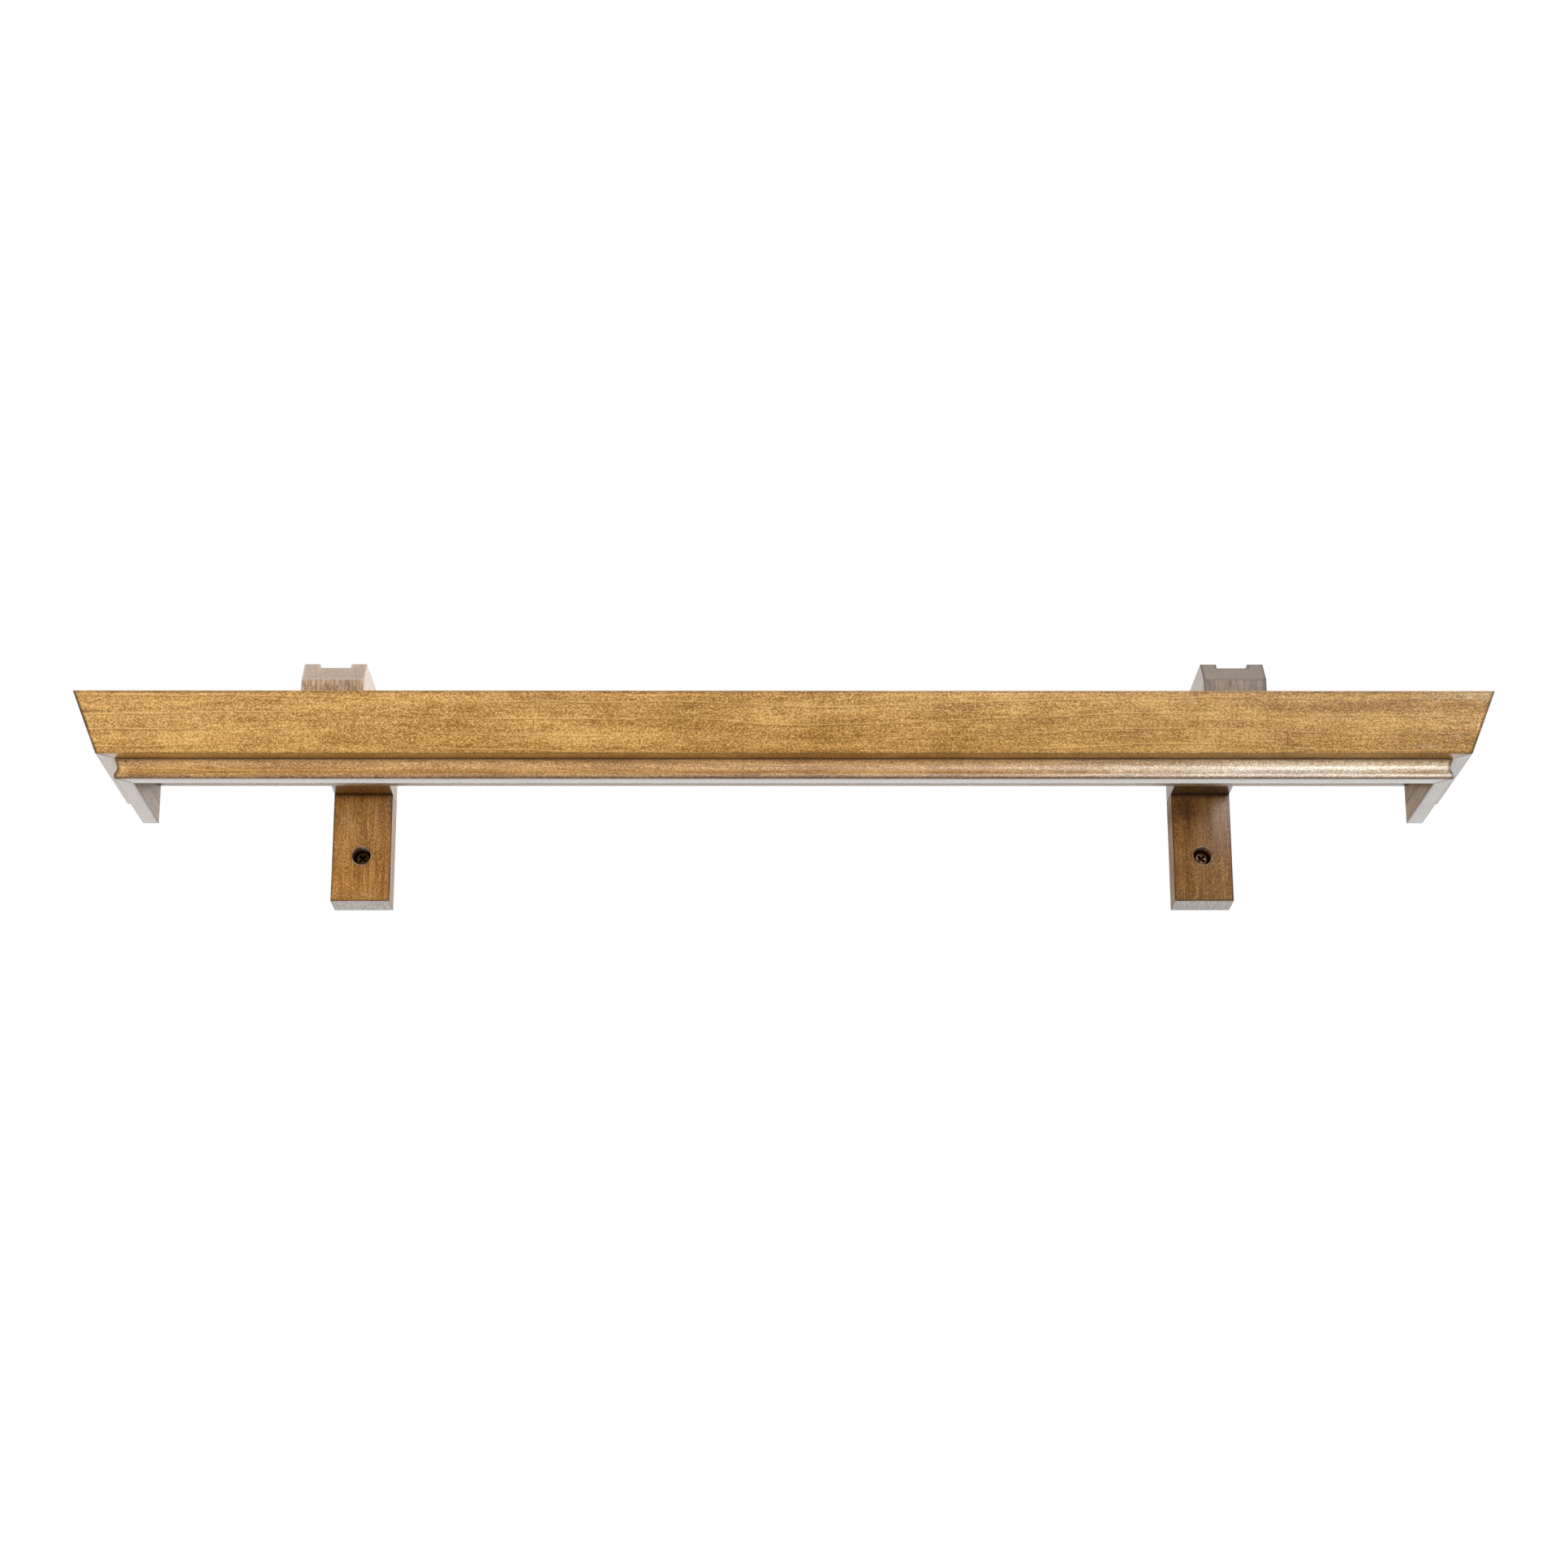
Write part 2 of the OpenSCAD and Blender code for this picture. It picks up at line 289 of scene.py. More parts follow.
def mark(g, place, spot, colour):
    """Mask of a soft-edged spot, and the colour with the spot multiplied in.

    spot: x, z, half width, half height, tint, strength.
    """
    x, z, half_w, half_h, tint, strength = spot
    away = g.node("ShaderNodeVectorMath", {0: place, 1: (x, 0, z)}, operation="SUBTRACT").outputs[0]
    per_half = (1 / half_w, 0, 1 / half_h)
    away = g.node("ShaderNodeVectorMath", {0: away, 1: per_half}, operation="MULTIPLY").outputs[0]
    reach = g.node("ShaderNodeVectorMath", {0: away}, operation="LENGTH").outputs["Value"]
    ragged = g.math("MULTIPLY_ADD", g.noise(place, scale=420, detail=3.0), 1.2, reach)
    mask = g.span(ragged, 1.7, 0.7, 0.0, strength)
    return mask, g.mix(mask, colour, tint, blend="MULTIPLY")


def rim_mask(g, place, x, radius, width):
    """1 on a torn pale ring round the counterbore, whose axis is along Y at that x."""
    away = g.node("ShaderNodeVectorMath", {0: place, 1: (x, 0, 0)}, operation="SUBTRACT").outputs[0]
    away = g.node("ShaderNodeVectorMath", {0: away, 1: (1, 0, 1)}, operation="MULTIPLY").outputs[0]
    reach = g.node("ShaderNodeVectorMath", {0: away}, operation="LENGTH").outputs["Value"]
    off = g.math("ABSOLUTE", g.math("SUBTRACT", reach, radius + 0.3 * width))
    ragged = g.math("MULTIPLY_ADD", g.noise(place, scale=330, detail=3.0), -1.9 * width, off)
    y = g.node("ShaderNodeSeparateXYZ", {0: place}).outputs[1]
    at_face = g.span(y, LEG_LO.y + 3 * width, LEG_LO.y + width)
    return g.math("MULTIPLY", g.span(ragged, -0.4 * width, -0.9 * width), at_face)


def tear_out(g, place, start):
    """Short slanting dents to the right of that x."""
    x = g.node("ShaderNodeSeparateXYZ", {0: place}).outputs[0]
    near_end = g.span(x, start, start + 0.03)
    slant = g.node("ShaderNodeMapping", {
        "Vector": place, "Rotation": (0, math.radians(52), 0), "Scale": (170, 20, 560)}).outputs[0]
    strokes = g.span(g.noise(slant, detail=1.0), 0.57, 0.66)
    patches = g.span(g.noise(place, scale=90, detail=1.0), 0.50, 0.57)
    return g.math("MULTIPLY", g.math("MULTIPLY", strokes, patches), near_end)


def wandering_grain(g, space):
    """Grain coordinates that drift slowly across the piece."""
    drift = g.noise(g.stretch(space, 2.6, 7.0), detail=2.0)
    aside = g.math("MULTIPLY", drift, 0.02)
    step = g.node("ShaderNodeCombineXYZ", {1: aside, 2: aside}).outputs[0]
    return g.node("ShaderNodeVectorMath", {0: space, 1: step}, operation="ADD").outputs[0]


def long_grain(g, space, wander, fleck):
    """Tone from 0, dark, to 1, light, and the pores, the fibres and the blotches that are in it."""
    pores = g.noise(g.stretch(wander, 760, 1250), detail=2.0, rough=0.7)
    fibre = g.noise(g.stretch(wander, 60, 700, (3, 1, 2)), detail=2.0, rough=0.6)
    streak = g.noise(g.stretch(wander, 9, 120, (7, 5, 1)), detail=2.0)
    blotch = g.noise(g.stretch(space, 20, 26, (2, 8, 4)), detail=3.0, rough=0.55)
    curl = g.noise(g.stretch(space, 46, 9, (5, 2, 9)), detail=2.0)
    tone = g.math("MULTIPLY_ADD", pores, fleck, 0.5 * (USUAL_FLECK - fleck))
    for part, share in ((fibre, 0.42), (streak, 0.42), (blotch, 0.26), (curl, 0.15)):
        tone = g.math("MULTIPLY_ADD", part, share, tone)
    return g.span(tone, 1.16, 1.70), pores, fibre, blotch


def growth_lines(g, space, wander, axis):
    """Masks of pale lines and of the dark ones under them, and one that fades both in and out."""
    across = g.node("ShaderNodeSeparateXYZ", {0: wander}).outputs[axis]
    swell = g.noise(g.stretch(space, 4.0, 14.0, (1, 9, 3)), detail=3.0)
    ring = g.math("DIVIDE", g.math("MULTIPLY_ADD", swell, 0.016, across), RING_PITCH)
    ring = g.math("FRACT", ring)
    pale = g.ramp(ring, [(0.0, 0.0), (0.10, 0.0), (0.14, 1.0), (0.19, 0.0)])
    deep = g.ramp(ring, [(0.0, 0.0), (0.06, 1.0), (0.11, 0.0), (1.0, 0.0)])
    seen = g.span(g.noise(g.stretch(space, 7, 20, (4, 4, 4)), detail=2.0), 0.36, 0.60, 0.15, 1.0)
    return pale, deep, seen


def end_grain(g, space, cut_dark, cut_light):
    """Colour of a sawn end: wavy upright streaks of rings and open pores."""
    wavy = g.node("ShaderNodeMapping", {"Vector": space, "Scale": (1, 620, 110)}).outputs[0]
    rings = g.noise(wavy, detail=2.0, distort=0.6)
    pores = g.noise(g.stretch(space, 40, 1500), detail=1.0)
    tone = g.math("MULTIPLY_ADD", pores, 0.5, rings)
    return g.ramp(g.span(tone, 0.58, 0.92), [(0.0, cut_dark), (1.0, cut_light)])


def add_marks(g, place, marks, colour):
    """The colour with the spots on it, and a mask of the burnt ones, which hold both stains and painted
    shade.
    """
    grime_and_shade = 0.0
    for spot in marks:
        mask, colour = mark(g, place, spot, colour)
        if spot[4] is BURNT_AND_SHADE:
            grime_and_shade = g.math("MAXIMUM", mask, grime_and_shade)
    return colour, grime_and_shade


def wood(name, grain, dark, mid, light, cut_dark, cut_light, shift,
         ring_axis=2, rings=0.70, fleck=USUAL_FLECK,
         rough=0.38, shine=0.3, coat=0.0, pooled=0.45, sheen_below=0.0, dusty=0.12, arris_tone=None,
         marks=(), torn_from=None, bored_at=None):
    """Stained maple with fine pores, blotchy stain, faint growth lines and dirty arrises.

    dark, mid, light -- stain on the long grain; cut_dark, cut_light -- on the end grain
    shift -- moves the grain, so that no two pieces have the same
    ring_axis -- the growth lines are stacked along this one of the two axes across the grain, 1 or 2
    rings, fleck -- strength of the growth lines and of the pores
    rough, shine -- roughness, and specular level under the lacquer
    coat, pooled -- lacquer, and the least of it on faces that look down
    sheen_below, dusty -- painted sheen on faces that look down, and dust on faces that look up
    arris_tone -- colour of the arrises, the dark dirt tone by default; a pale one is a painted sheen
    marks -- spots, as in mark()
    torn_from -- x at which tear-out begins, bored_at -- x of the counterbore
    """
    g = Graph(name)
    place = g.node("ShaderNodeTexCoord").outputs["Object"]
    space = grain_space(g, grain, shift)
    wander = wandering_grain(g, space)

    tone, pores, fibre, blotch = long_grain(g, space, wander, fleck)
    pale, deep, seen = growth_lines(g, space, wander, ring_axis)
    cut = end_grain_mask(g, grain)
    colour = g.ramp(tone, [(0.0, dark), (0.45, mid), (1.0, light)])
    colour = g.mix(g.math("MULTIPLY", g.math("MULTIPLY", pale, seen), rings), colour, light)
    colour = g.mix(g.math("MULTIPLY", g.math("MULTIPLY", deep, seen), rings * 0.65), colour, dark)
    colour = g.mix(cut, colour, end_grain(g, space, cut_dark, cut_light))

    # Muddy patches, dust on top, and a painted sheen on faces that look down
    facing = g.node("ShaderNodeNewGeometry").outputs["True Normal"]
    upward = g.node("ShaderNodeSeparateXYZ", {0: facing}).outputs[2]
    hanging = g.span(upward, -0.80, -0.95)
    settled = g.span(upward, 0.45, 0.60)
    patchy = g.noise(g.stretch(space, 30, 60, (9, 3, 6)), detail=4.0, rough=0.65)
    mud = tuple(0.60 * c + 0.03 for c in dark)
    colour = g.mix(g.span(patchy, 0.58, 0.80, 0.0, 0.26), colour, mud)
    colour = g.mix(g.math("MULTIPLY", settled, dusty), colour, DUST)
    # Painted sheen: faces that look down are greyed, as by the reflection on them
    colour = g.mix(g.math("MULTIPLY", hanging, sheen_below), colour, UNDERSIDE_SHEEN)

    # Spots of stain and wear, of painted sheen and of painted shade, and strokes of torn grain
    colour, grime_and_shade = add_marks(g, place, marks, colour)
    grime_and_shade = g.math("MULTIPLY", grime_and_shade, g.span(hanging, 0.0, 1.0, 1.0, 0.0))
    torn = None
    if torn_from is not None:
        torn = tear_out(g, place, torn_from)
        colour = g.mix(g.math("MULTIPLY", torn, 0.40), colour, tuple(0.4 + 0.5 * c for c in light))

    # Dirt along the arrises, painted shade in the corners, and a bare rim round the counterbore
    soil_and_shade = tuple(0.28 * c + 0.004 for c in dark)
    arris = g.math("MULTIPLY", edge_mask(g, ARRIS_REACH), g.span(patchy, 0.30, 0.60, 0.65, 1.0))
    corner_shade = g.math("MULTIPLY", corner_shade_mask(g, SHADE_REACH), 0.95)
    colour = g.mix(arris, colour, arris_tone or soil_and_shade)
    # Painted shade: the corners darken towards the same dark tone as the dirt on the arrises
    colour = g.mix(corner_shade, colour, soil_and_shade)
    if bored_at is not None:
        rim = rim_mask(g, place, bored_at, BORE_R, RIM_W)
        colour = g.mix(g.math("MULTIPLY", rim, 0.8), colour, BARE_WOOD)

    roughness = g.math("MULTIPLY_ADD", pores, 0.16, g.math("MULTIPLY", blotch, 0.10))
    roughness = g.math("MULTIPLY_ADD", settled, 0.35, g.math("ADD", roughness, rough - 0.13))
    roughness = g.math("MULTIPLY_ADD", grime_and_shade, 0.3, roughness)
    relief = g.math("MULTIPLY_ADD", pores, 0.7, g.math("MULTIPLY", fibre, 0.5))
    relief = g.math("MULTIPLY_ADD", deep, -0.25, relief)
    relief = g.math("MULTIPLY", relief, g.span(hanging, 0.0, 1.0, 1.0, 0.35))
    if torn is not None:
        relief = g.math("MULTIPLY_ADD", torn, -6.0, relief)
    bump = g.node("ShaderNodeBump", {"Height": relief, "Strength": 0.26, "Distance": 0.5 * MM}).outputs[0]

    # The lacquer has pooled on the faces that look down, and is worn or dirty in other places
    lacquer = g.span(hanging, 0.0, 1.0, coat, max(coat, pooled))
    dull = settled
    for unpolished in (cut, corner_shade, arris, grime_and_shade):
        dull = g.math("MAXIMUM", dull, unpolished)
    lacquer = g.math("MULTIPLY", lacquer, g.span(dull, 0.0, 1.0, 1.0, 0.1))
    return g.finish(**{
        "Base Color": colour, "Roughness": roughness, "Normal": bump, "Specular IOR Level": shine,
        "Coat Weight": lacquer, "Coat Roughness": 0.30, "Coat IOR": 1.5})


def metal(name, colour, stain, rough):
    """Steel with dull stains, painted shade in its corners and a finely uneven surface."""
    g = Graph(name)
    place = g.node("ShaderNodeTexCoord").outputs["Object"]
    dull = g.noise(place, scale=420, detail=4.0, rough=0.6)
    fine = g.noise(place, scale=2600, detail=2.0)
    tint = g.mix(g.span(dull, 0.42, 0.68), colour, stain)
    # Painted shade: the corners darken towards a deep version of the stain
    tint = g.mix(g.math("MULTIPLY", corner_shade_mask(g, 3 * MM), 0.85), tint, tuple(0.15 * c for c in stain))
    roughness = g.math("MULTIPLY_ADD", dull, 0.25, g.math("MULTIPLY_ADD", fine, 0.15, rough - 0.2))
    bump = g.node("ShaderNodeBump", {"Height": fine, "Strength": 0.25, "Distance": 0.1 * MM}).outputs[0]
    return g.finish(**{"Base Color": tint, "Roughness": roughness, "Metallic": 1.0, "Normal": bump})


# ------------------------------------------------------------------ meshes

def object_from(bm, name):
    """A new object from a finished bmesh, with its faces turned outwards."""
    bmesh.ops.recalc_face_normals(bm, faces=bm.faces)
    mesh = bpy.data.meshes.new(name)
    bm.to_mesh(mesh)
    bm.free()
    made = bpy.data.objects.new(name, mesh)
    bpy.context.scene.collection.objects.link(made)
    return made


def finish_piece(made, material, node, smooth_deg=38):
    """Shades a new piece and lets it stand for its CAD node."""
    made.data.materials.append(material)
    made.data.shade_smooth()
    made.data.set_sharp_from_angle(angle=math.radians(smooth_deg))
    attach(made, "root")
    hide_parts(node)


def arc(centre, radius, start, end, steps):
    """Points on a circle from one angle to another, in degrees, both included."""
    angles = [math.radians(start + (end - start) * i / steps) for i in range(steps + 1)]
    return [(centre[0] + radius * math.cos(a), centre[1] + radius * math.sin(a)) for a in angles]


def eased(points, ease):
    """The closed outline with each corner rounded to the radius given for it."""
    steps = 4
    out = []
    count = len(points)
    for i, corner in enumerate(points):
        here = Vector(corner)
        before = (Vector(points[i - 1]) - here).normalized()
        after = (Vector(points[(i + 1) % count]) - here).normalized()
        half = math.acos(max(-1, min(1, before.dot(after)))) / 2
        reach = ease[i] / math.tan(half)
        a = here + before * reach
        b = here + after * reach
        middle = here + (before + after).normalized() * (ease[i] / math.sin(half))
        spoke = a - middle
        turn = spoke.angle_signed(b - middle)
        for k in range(steps + 1):
            spun = Matrix.Rotation(-turn * k / steps, 2) @ spoke
            out.append(tuple(middle + spun))
    return out


def crown_outline():
    """Crown's section: distance in from its top edge, height above its underside."""
    corners = [(CROWN_LEAN, 0), (FRAME_IN, 0), (FRAME_IN, CROWN_H), (0, CROWN_H)]
    return eased(corners, [0.5 * MM, 0.3 * MM, 0.3 * MM, 0.7 * MM])


def bead_outline():
    """Bead's section: a rounded nose, a shallow cove above it and a small lip at the top."""
    cove = 1.4 * MM
    nose = 3.0 * MM
    lip = 1.2 * MM
    nose_r = 1.0 * MM
    half = (BEAD_H - nose - lip) / 2
    radius = (half ** 2 + cove ** 2) / (2 * cove)
    spread = math.degrees(math.asin(half / radius))
    centre = (BEAD_OUT + cove - radius, nose + half)
    face = arc(centre, radius, spread, -spread, 14)
    bottom = arc((BEAD_OUT + nose_r, nose_r), nose_r, 180, 270, 5)
    inner = [(BEAD_OUT + BEAD_T, 0), (BEAD_OUT + BEAD_T, BEAD_H)]
    return [(BEAD_OUT, BEAD_H)] + face + bottom + inner


JOINT_GAP = 0.06 * MM                     # hairline at each side of a mitre
STATION = 6 * MM                          # spacing of the sections along a piece
WOBBLE = 0.10 * MM                        # unevenness of the outer faces


def swept_piece(name, outline, base_z, place_at, length):
    """Runs a section along a piece. place_at(u, t) gives x and y at depth u, for t from 0 to 1."""
    steps = max(2, round(length / STATION))
    bm = bmesh.new()
    rings = []
    for i in range(steps + 1):
        t = i / steps
        ring = []
        for u, v in outline:
            x, y = place_at(u, t)
            here = Vector((x, y, base_z + v))
            soft = WOBBLE * noise.noise(Vector((x * 40, y * 40, v * 160)))
            keep = 1 if 0 < t < 1 and u < BEAD_OUT + BEAD_T * 0.5 else 0
            ring.append(bm.verts.new(here + Vector((0, keep * soft, keep * soft * 0.6))))
        rings.append(ring)
    count = len(outline)
    for near, far in zip(rings, rings[1:]):
        for k in range(count):
            bm.faces.new((near[k], near[(k + 1) % count], far[(k + 1) % count], far[k]))
    bm.faces.new(rings[0])
    bm.faces.new(reversed(rings[-1]))
    return object_from(bm, name)


def front_run(u, t):
    """Place on the front piece, between its two mitres."""
    reach = HALF_W - u - JOINT_GAP
    return -reach + 2 * reach * t, FRONT_Y + u


def side_run(side):
    """Places on a side piece, from its mitre to the open back."""
    def place(u, t):
        start = FRONT_Y + u + JOINT_GAP
        return side * (HALF_W - u), start + (BACK_Y - start) * t
    return place


def frame_pieces(kind, outline, base_z, material_of):
    """Front, left and right piece of the crown or of the bead."""
    front = swept_piece(f"front_{kind}_wood", outline, base_z, front_run, 2 * HALF_W)
    finish_piece(front, material_of("front"), f"front_{kind}")
    for word, side in SIDES.items():
        piece = swept_piece(f"{word}_{kind}_wood", outline, base_z, side_run(side), BACK_Y - FRONT_Y)
        finish_piece(piece, material_of(word), f"{word}_{kind}")


def eased_box(name, lo, hi, ease):
    """A box between two corners, with rounded edges."""
    bm = bmesh.new()
    bmesh.ops.create_cube(bm, size=1)
    for v in bm.verts:
        v.co = Vector((lo[i] if v.co[i] < 0 else hi[i]) for i in range(3))
    bmesh.ops.bevel(bm, geom=list(bm.edges), offset=ease, segments=3, profile=0.5, affect="EDGES")
    return object_from(bm, name)


def cross_outline(centre, y, half_l, half_w):
    """Corners of an upright-diagonal cross in the plane at y."""
    corners = []
    for quarter in range(4):
        turn = Matrix.Rotation(math.radians(45 + 90 * quarter), 2)
        for a, b in ((half_l, -half_w), (half_l, half_w), (half_w, half_w)):
            corner = turn @ Vector((a, b))
            corners.append(Vector((centre + corner.x, y, corner.y)))
    return corners


AROUND = 40                               # points round the screw
HEAD_H = 3.4 * MM
DOME_H = 1.6 * MM                         # rounded part of the head's height
FLAT_SHARE = 0.62                         # radius of the head's flat middle, as a share of the head's
HEAD_EASE = 0.2 * MM
SHANK_R = 2.2 * MM
THREAD_START = -0.2 * MM                  # just in front of the wall
THREAD_PITCH = 2.2 * MM
THREAD_ROWS = 9                           # sections in one turn of the thread
CORE_R = 1.7 * MM
CREST_R = 2.45 * MM
POINT_LEN = 8 * MM
RECESS_DEPTH = 2.8 * MM


def thread_radius(y, turn):
    """Radius of the thread at depth y and at that share of a full turn."""
    ridge = 1 - abs((y / THREAD_PITCH - turn) % 1 - 0.5) / 0.32
    return CORE_R + (CREST_R - CORE_R) * max(0, ridge)


def pan_head_screw(name, centre, front, back, head_r):
    """Pan-head wall screw: domed head with a crossed recess, plain shank, and a helical thread."""
    bm = bmesh.new()

    def ring(y, radius_at):
        verts = []
        for k in range(AROUND):
            turn = k / AROUND
            radius = radius_at(turn)
            angle = 2 * math.pi * turn
            verts.append(bm.verts.new((centre + radius * math.cos(angle), y, radius * math.sin(angle))))
        return verts

    def plain(y, radius):
        return ring(y, lambda turn: radius)

    rings = [plain(front, FLAT_SHARE * head_r)]
    for step in range(1, 6):
        angle = math.radians(18 * step)
        radius = head_r * (FLAT_SHARE + (1 - FLAT_SHARE) * math.sin(angle))
        rings.append(plain(front + DOME_H * (1 - math.cos(angle)), radius))
    rings.append(plain(front + HEAD_H - HEAD_EASE, head_r))
    rings.append(plain(front + HEAD_H, head_r - HEAD_EASE))
    rings.append(plain(front + HEAD_H, SHANK_R + 2 * HEAD_EASE))
    rings.append(plain(front + HEAD_H + 2 * HEAD_EASE, SHANK_R))
    rings.append(plain(THREAD_START, SHANK_R))
    rows = round(back / THREAD_PITCH * THREAD_ROWS)
    for row in range(rows):
        y = back * row / rows
        taper = min(1, max(0.06, (back - y) / POINT_LEN))
        rings.append(ring(y, lambda turn: taper * thread_radius(y, turn)))
    for near, far in zip(rings, rings[1:]):
        for k in range(AROUND):
            bm.faces.new((near[k], near[(k + 1) % AROUND], far[(k + 1) % AROUND], far[k]))
    bm.faces.new(rings[-1])

    # The recess: a cross at the head's face, narrowing to its floor
    mouth = [bm.verts.new(v) for v in cross_outline(centre, front, 3.2 * MM, 0.95 * MM)]
    floor = [bm.verts.new(v) for v in cross_outline(centre, front + RECESS_DEPTH, 1.7 * MM, 0.5 * MM)]
    bm.faces.new(floor)
    edges = []
    for k in range(len(mouth)):
        after = (k + 1) % len(mouth)
        bm.faces.new((mouth[k], mouth[after], floor[after], floor[k]))
        edges.append(bm.edges.get((mouth[k], mouth[after])))
    for k in range(AROUND):
        edges.append(bm.edges.get((rings[0][k], rings[0][(k + 1) % AROUND])))
    bmesh.ops.triangle_fill(bm, use_beauty=True, edges=edges)
    return object_from(bm, name)


# ------------------------------------------------------------------ colours

GOLD = dict(dark=(0.232, 0.095, 0.010), mid=(0.545, 0.268, 0.053), light=(0.950, 0.585, 0.195),
            cut_dark=(0.18, 0.11, 0.06), cut_light=(0.46, 0.32, 0.20))
CHESTNUT = dict(dark=(0.160, 0.058, 0.006), mid=(0.405, 0.178, 0.040), light=(0.780, 0.425, 0.135),
                cut_dark=(0.19, 0.115, 0.065), cut_light=(0.68, 0.49, 0.32))
PALE = dict(dark=(0.38, 0.25, 0.12), mid=(0.58, 0.42, 0.24), light=(0.76, 0.60, 0.40),
            cut_dark=(0.34, 0.22, 0.11), cut_light=(0.66, 0.50, 0.31))

# Tints, which the wood's colour is multiplied by: for stains and wear, and for painted shade and painted
# sheen
BURNT_AND_SHADE = (0.34, 0.25, 0.20)
GREYED_AND_SHEEN = (0.80, 0.95, 1.50)
WORN_AND_SHEEN = (1.45, 1.75, 2.60)
PAINTED_SHEEN = (1.20, 2.1, 6.2)

# Spots of stain and wear, and of painted sheen and painted shade: x, z, half width and half height in metres,
# tint, strength
# On the crown's right end, from x 0.41 on, the greyed and worn spots are painted sheen and painted highlights
# in dents, and the burnt spots beside them painted shadows
CROWN_MARKS = [
    (-0.378, 0.023, 0.0016, 0.0012, BURNT_AND_SHADE, 0.8), (-0.446, 0.033, 0.014, 0.0012, BURNT_AND_SHADE, 0.6),
    (-0.150, 0.041, 0.030, 0.0020, BURNT_AND_SHADE, 0.4), (0.432, 0.042, 0.030, 0.0035, GREYED_AND_SHEEN, 0.7),
    (0.411, 0.012, 0.012, 0.0025, GREYED_AND_SHEEN, 0.6), (0.140, 0.020, 0.030, 0.0040, BURNT_AND_SHADE, 0.25),
    (-0.380, 0.0448, 0.060, 0.0012, BURNT_AND_SHADE, 0.45), (0.4425, 0.0352, 0.0018, 0.0016, WORN_AND_SHEEN, 0.9),
    (0.4400, 0.0372, 0.0014, 0.0010, BURNT_AND_SHADE, 0.6), (0.4345, 0.0130, 0.0085, 0.0007, WORN_AND_SHEEN, 0.8),
    (0.4290, 0.0113, 0.0060, 0.0006, BURNT_AND_SHADE, 0.5), (0.4500, 0.0410, 0.0045, 0.0030, GREYED_AND_SHEEN, 0.8),
    (0.4470, 0.0240, 0.0016, 0.0060, WORN_AND_SHEEN, 0.5)]
# On the bead the burnt bands along the top and the bottom of its face are painted shade, and the bleached
# spot and the wide worn band over its right half painted sheen
BEAD_MARKS = [
    (-0.427, 0.000, 0.005, 0.0045, WORN_AND_SHEEN, 0.6), (-0.415, -0.004, 0.010, 0.0010, BURNT_AND_SHADE, 0.8),
    (0.418, 0.003, 0.006, 0.0030, WORN_AND_SHEEN, 0.5), (0.0, 0.0060, 0.80, 0.0024, BURNT_AND_SHADE, 0.25),
    (0.330, 0.0010, 0.190, 0.0090, PAINTED_SHEEN, 0.60), (0.310, -0.0016, 0.200, 0.0022, WORN_AND_SHEEN, 0.60),
    (0.0, -0.0054, 0.80, 0.0026, BURNT_AND_SHADE, 0.90)]
# On each leg the burnt band along the top is painted shade under the arm, and the worn spots high up are
# painted sheen; on the right leg the burnt spot at the upper left is painted shade
LEG_MARKS = {
    "left": [(-0.309, 0.025, 0.007, 0.010, GREYED_AND_SHEEN, 0.35), (-0.297, 0.037, 0.012, 0.005, WORN_AND_SHEEN, 0.35),
             (-0.297, -0.029, 0.020, 0.003, GREYED_AND_SHEEN, 0.4), (-0.297, 0.0455, 0.040, 0.0013, BURNT_AND_SHADE, 0.9)],
    "right": [(0.285, 0.033, 0.015, 0.011, BURNT_AND_SHADE, 0.85), (0.309, 0.032, 0.010, 0.013, WORN_AND_SHEEN, 0.95),
              (0.312, 0.034, 0.006, 0.008, WORN_AND_SHEEN, 0.50), (0.297, -0.028, 0.020, 0.003, GREYED_AND_SHEEN, 0.4),
              (0.297, 0.0455, 0.040, 0.0013, BURNT_AND_SHADE, 0.9)]}


def shaded_copy(colours, share):
    """The same wood, darker: a shaded copy, which paints shade on the right-hand pieces."""
    return {key: tuple(share * c for c in colour) for key, colour in colours.items()}


# ------------------------------------------------------------------ build

MIDDLE = (0, -0.2, 0)                     # near the middle of the shelf, where most lights aim

add_camera()
add_world(sky=0.34, ground=0.10, reflected=0.12)
add_floor(level=-2.6, half=40.0)
softbox("key", at=(-1.5, -2.7, -0.75), aim=MIDDLE, size=(1.6, 0.9), radiance=13.0, glossy=False)
softbox("fill", at=(0.8, -3.4, -0.35), aim=MIDDLE, size=(2.4, 0.8), radiance=3.0, glossy=False)
softbox("sheen", at=(1.05, -2.7, 1.4), aim=(0.3, -0.2, 0), size=(1.1, 2.6), radiance=16.0, diffuse=False)
softbox("low_sheen", at=(1.25, -2.7, -0.96), aim=(0.35, -0.2, 0), size=(1.2, 0.9), radiance=5.0,
        diffuse=False)
softbox("top", at=(0, -0.2, 2.2), aim=MIDDLE, size=(2.6, 1.8), radiance=2.0)
softbox("left_side", at=(-3.2, 0.5, 0.7), aim=(0, -0.1, 0), size=(2.0, 2.0), radiance=2.0)
softbox("right_side", at=(3.2, 0.5, 0.7), aim=(0, -0.1, 0), size=(2.0, 2.0), radiance=2.0)
softbox("back", at=(0.6, 2.8, 1.6), aim=MIDDLE, size=(2.4, 1.2), radiance=1.6)
softbox("low_backdrop", at=(0, 4.2, -1.3), aim=MIDDLE, size=(6.0, 2.4), radiance=2.5, diffuse=False)
softbox("high_backdrop", at=(1.2, 4.2, 1.3), aim=MIDDLE, size=(3.8, 2.4), radiance=1.0, diffuse=False)

